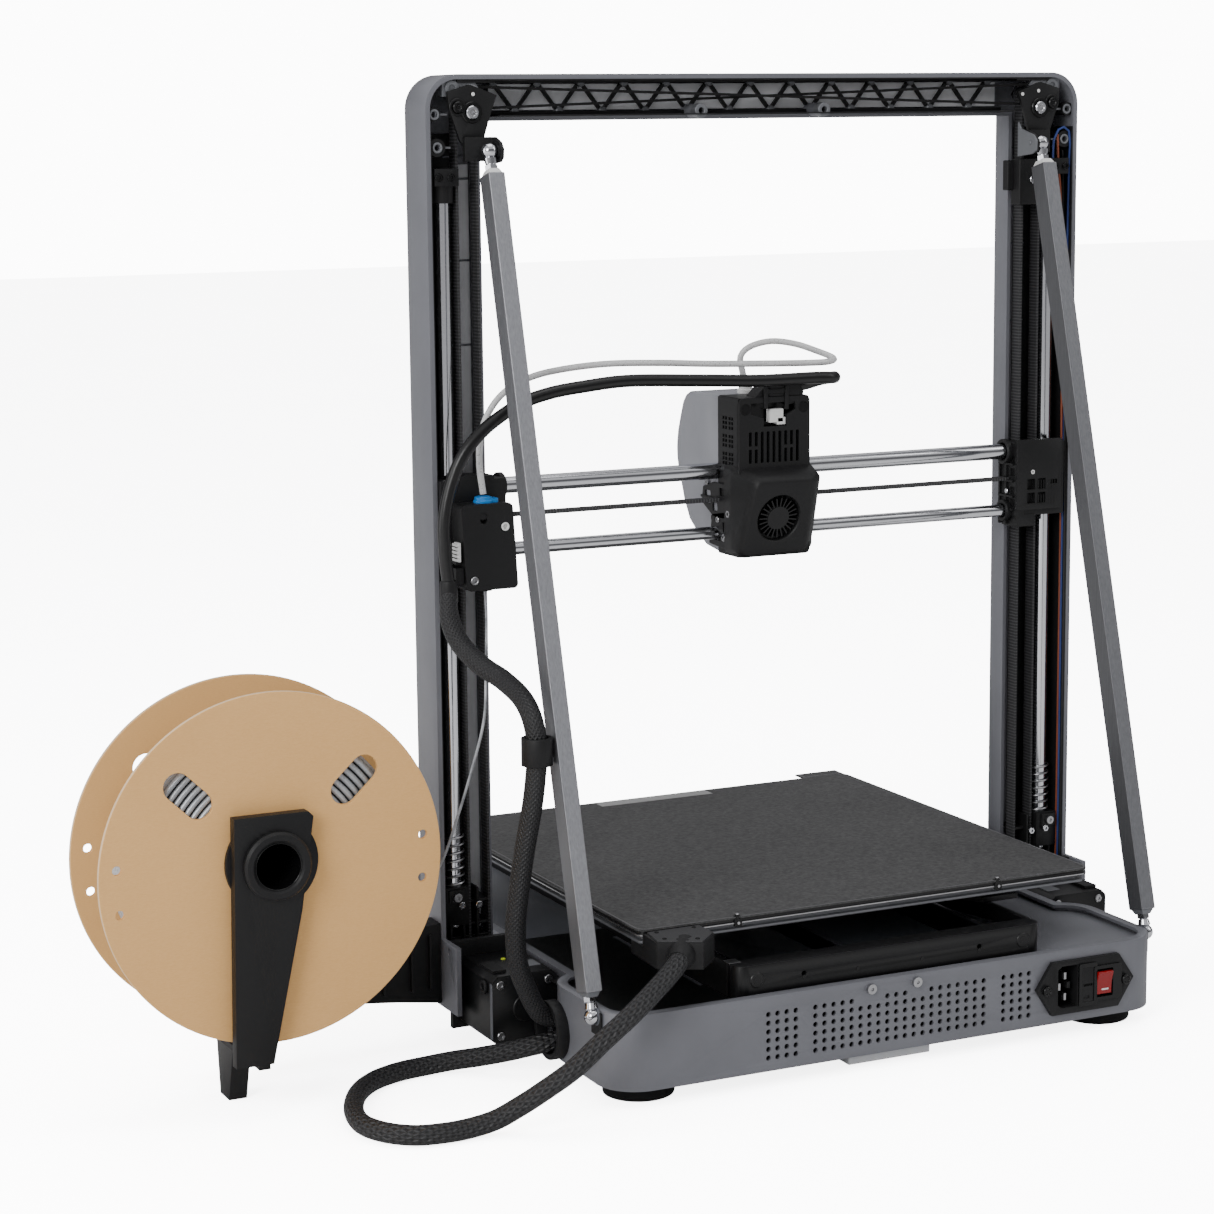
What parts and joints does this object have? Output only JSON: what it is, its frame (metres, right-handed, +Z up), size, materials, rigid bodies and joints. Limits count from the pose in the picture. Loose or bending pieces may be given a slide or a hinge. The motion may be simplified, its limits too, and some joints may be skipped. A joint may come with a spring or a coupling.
{
  "type": "fdm printer",
  "caption": "Desktop filament printer with a moving bed, belt-lifted portal crossbar, direct print head, side spool holder and soft cables.",
  "frame": {"origin": "centre of the base's footprint, on the bench", "axes": "+X to the spool holder's side, +Y to the rear panel with the mains inlet, +Z up; millimetre drawing values, metres here"},
  "size_m": [0.6805, 0.4277, 0.579],
  "materials": {
    "painted_case": "satin powder coat",
    "black_plastic": "fine texture",
    "grey_plastic": "satin",
    "red_plastic": "gloss",
    "steel": "satin",
    "chrome_rod": "polished",
    "black_rubber": "matt",
    "circuit_board": "solder mask",
    "motor_black": "satin",
    "aluminium": "satin",
    "brass": "machined",
    "print_sheet": "textured coating",
    "cardboard": "plain",
    "filament": "silky",
    "guide_plastic": "translucent",
    "braid": "braided",
    "wire_insulation": "smooth"
  },
  "bodies": {
    "frame": {"base_tray": "painted_case", "base_feet": "black_rubber", "deck_plate": "steel", "inlet_body": "black_plastic", "root_screws": "steel", "power_supply": "aluminium", "control_board": "circuit_board", "y_frame": "motor_black", "y_rods": "chrome_rod", "y_motor": "motor_black", "y_belt": "black_rubber", "motor_brackets": "black_plastic", "portal_frame": "painted_case", "beam_insert": "black_plastic", "z_rods": "chrome_rod", "rod_clamps": "black_plastic", "buffer_springs": "steel", "z_motor_left": "motor_black", "z_motor_right": "motor_black", "z_belts": "black_rubber", "sync_belt": "black_rubber", "braces": "aluminium", "brace_balls": "chrome_rod", "brace_brackets": "black_plastic", "cable_clips": "black_plastic", "ribbon_wires": "wire_insulation", "spool_arm": "black_plastic", "spool_hub": "black_plastic", "bed_cable": "braid", "cable_sleeve": "braid", "filament_strand": "filament"},
    "crossbar": {"x_block_left": "black_plastic", "x_block_right": "black_plastic", "x_rods": "chrome_rod", "x_belt": "black_rubber", "filament_sensor": "black_plastic", "head_hose": "black_rubber", "guide_tube": "guide_plastic"},
    "print_head": {"head_cover": "grey_plastic", "head_shell": "black_plastic", "carriage_body": "aluminium", "hotend": "brass", "head_motors": "motor_black"},
    "bed": {"bed_sheet": "print_sheet", "bed_plate": "aluminium", "bed_tray": "steel", "bed_carriage": "motor_black", "bed_gland": "black_plastic"},
    "spool_reel": {"spool": "cardboard", "filament_winding": "filament"},
    "power_rocker": {"rocker_switch": "red_plastic"},
    "cooling_rotor": {"fan_rotor": "black_plastic"},
    "x_drive": {"x_pulley": "aluminium"},
    "feed_gear": {"extruder_gear": "steel"},
    "y_drive": {"y_motor_pulley": "aluminium"},
    "y_return": {"y_idler": "aluminium"},
    "z_drive_left": {"z_drive_pulley_left": "aluminium"},
    "z_drive_right": {"z_drive_pulley_right": "aluminium"},
    "z_return_left": {"z_top_pulley_left": "aluminium"},
    "z_return_right": {"z_top_pulley_right": "aluminium"}
  },
  "joints": [
    {"name": "bed_travel", "type": "slide", "parent": "frame", "child": "bed", "axis": [0, 1, 0], "range_m": [-0.15, 0.15], "deforming": ["bed_cable"]},
    {"name": "z_travel", "type": "slide", "parent": "frame", "child": "crossbar", "axis": [0, 0, 1], "range_m": [-0.186, 0.114], "deforming": ["cable_sleeve", "filament_strand", "buffer_springs"]},
    {"name": "x_travel", "type": "slide", "parent": "crossbar", "child": "print_head", "axis": [1, 0, 0], "range_m": [-0.156, 0.144], "deforming": ["head_hose", "guide_tube"]},
    {"name": "spool_turn", "type": "hinge", "parent": "frame", "child": "spool_reel", "pos_m": [0.3555, 0.085, 0.143], "axis": [0, 1, 0], "continuous": true},
    {"name": "rocker_press", "type": "hinge", "parent": "frame", "child": "power_rocker", "pos_m": [-0.144, 0.198, 0.0325], "axis": [1, 0, 0], "range_deg": [0, 13]},
    {"name": "fan_spin", "type": "hinge", "parent": "print_head", "child": "cooling_rotor", "pos_m": [0.007, 0.0641, 0.31], "axis": [0, 0.9662, -0.2577], "continuous": true},
    {"name": "x_pulley_turn", "type": "hinge", "parent": "print_head", "child": "x_drive", "pos_m": [-0.002, 0.03, 0.3242], "axis": [0, 1, 0], "continuous": true},
    {"name": "feed_gear_turn", "type": "hinge", "parent": "print_head", "child": "feed_gear", "pos_m": [-0.0012, 0.02, 0.354], "axis": [0, 1, 0], "continuous": true},
    {"name": "y_pulley_turn", "type": "hinge", "parent": "frame", "child": "y_drive", "pos_m": [0, 0.168, 0.033], "axis": [1, 0, 0], "continuous": true},
    {"name": "y_idler_turn", "type": "hinge", "parent": "frame", "child": "y_return", "pos_m": [0, -0.168, 0.033], "axis": [1, 0, 0], "continuous": true},
    {"name": "z_drive_left_turn", "type": "hinge", "parent": "frame", "child": "z_drive_left", "pos_m": [0.196, 0.026, 0.035], "axis": [0, 1, 0], "continuous": true},
    {"name": "z_drive_right_turn", "type": "hinge", "parent": "frame", "child": "z_drive_right", "pos_m": [-0.196, 0.026, 0.035], "axis": [0, 1, 0], "continuous": true},
    {"name": "z_return_left_turn", "type": "hinge", "parent": "frame", "child": "z_return_left", "pos_m": [0.196, 0.028, 0.5655], "axis": [0, 1, 0], "continuous": true},
    {"name": "z_return_right_turn", "type": "hinge", "parent": "frame", "child": "z_return_right", "pos_m": [-0.196, 0.028, 0.5655], "axis": [0, 1, 0], "continuous": true}
  ],
  "couplings": [
    {"joint": "y_pulley_turn", "follows": "bed_travel", "rad_per_m": -156.25},
    {"joint": "y_idler_turn", "follows": "bed_travel", "rad_per_m": -156.25},
    {"joint": "x_pulley_turn", "follows": "x_travel", "rad_per_m": 161.29},
    {"joint": "z_drive_left_turn", "follows": "z_travel", "rad_per_m": 156.25},
    {"joint": "z_return_left_turn", "follows": "z_travel", "rad_per_m": 156.25},
    {"joint": "z_drive_right_turn", "follows": "z_travel", "rad_per_m": -156.25},
    {"joint": "z_return_right_turn", "follows": "z_travel", "rad_per_m": -156.25}
  ]
}
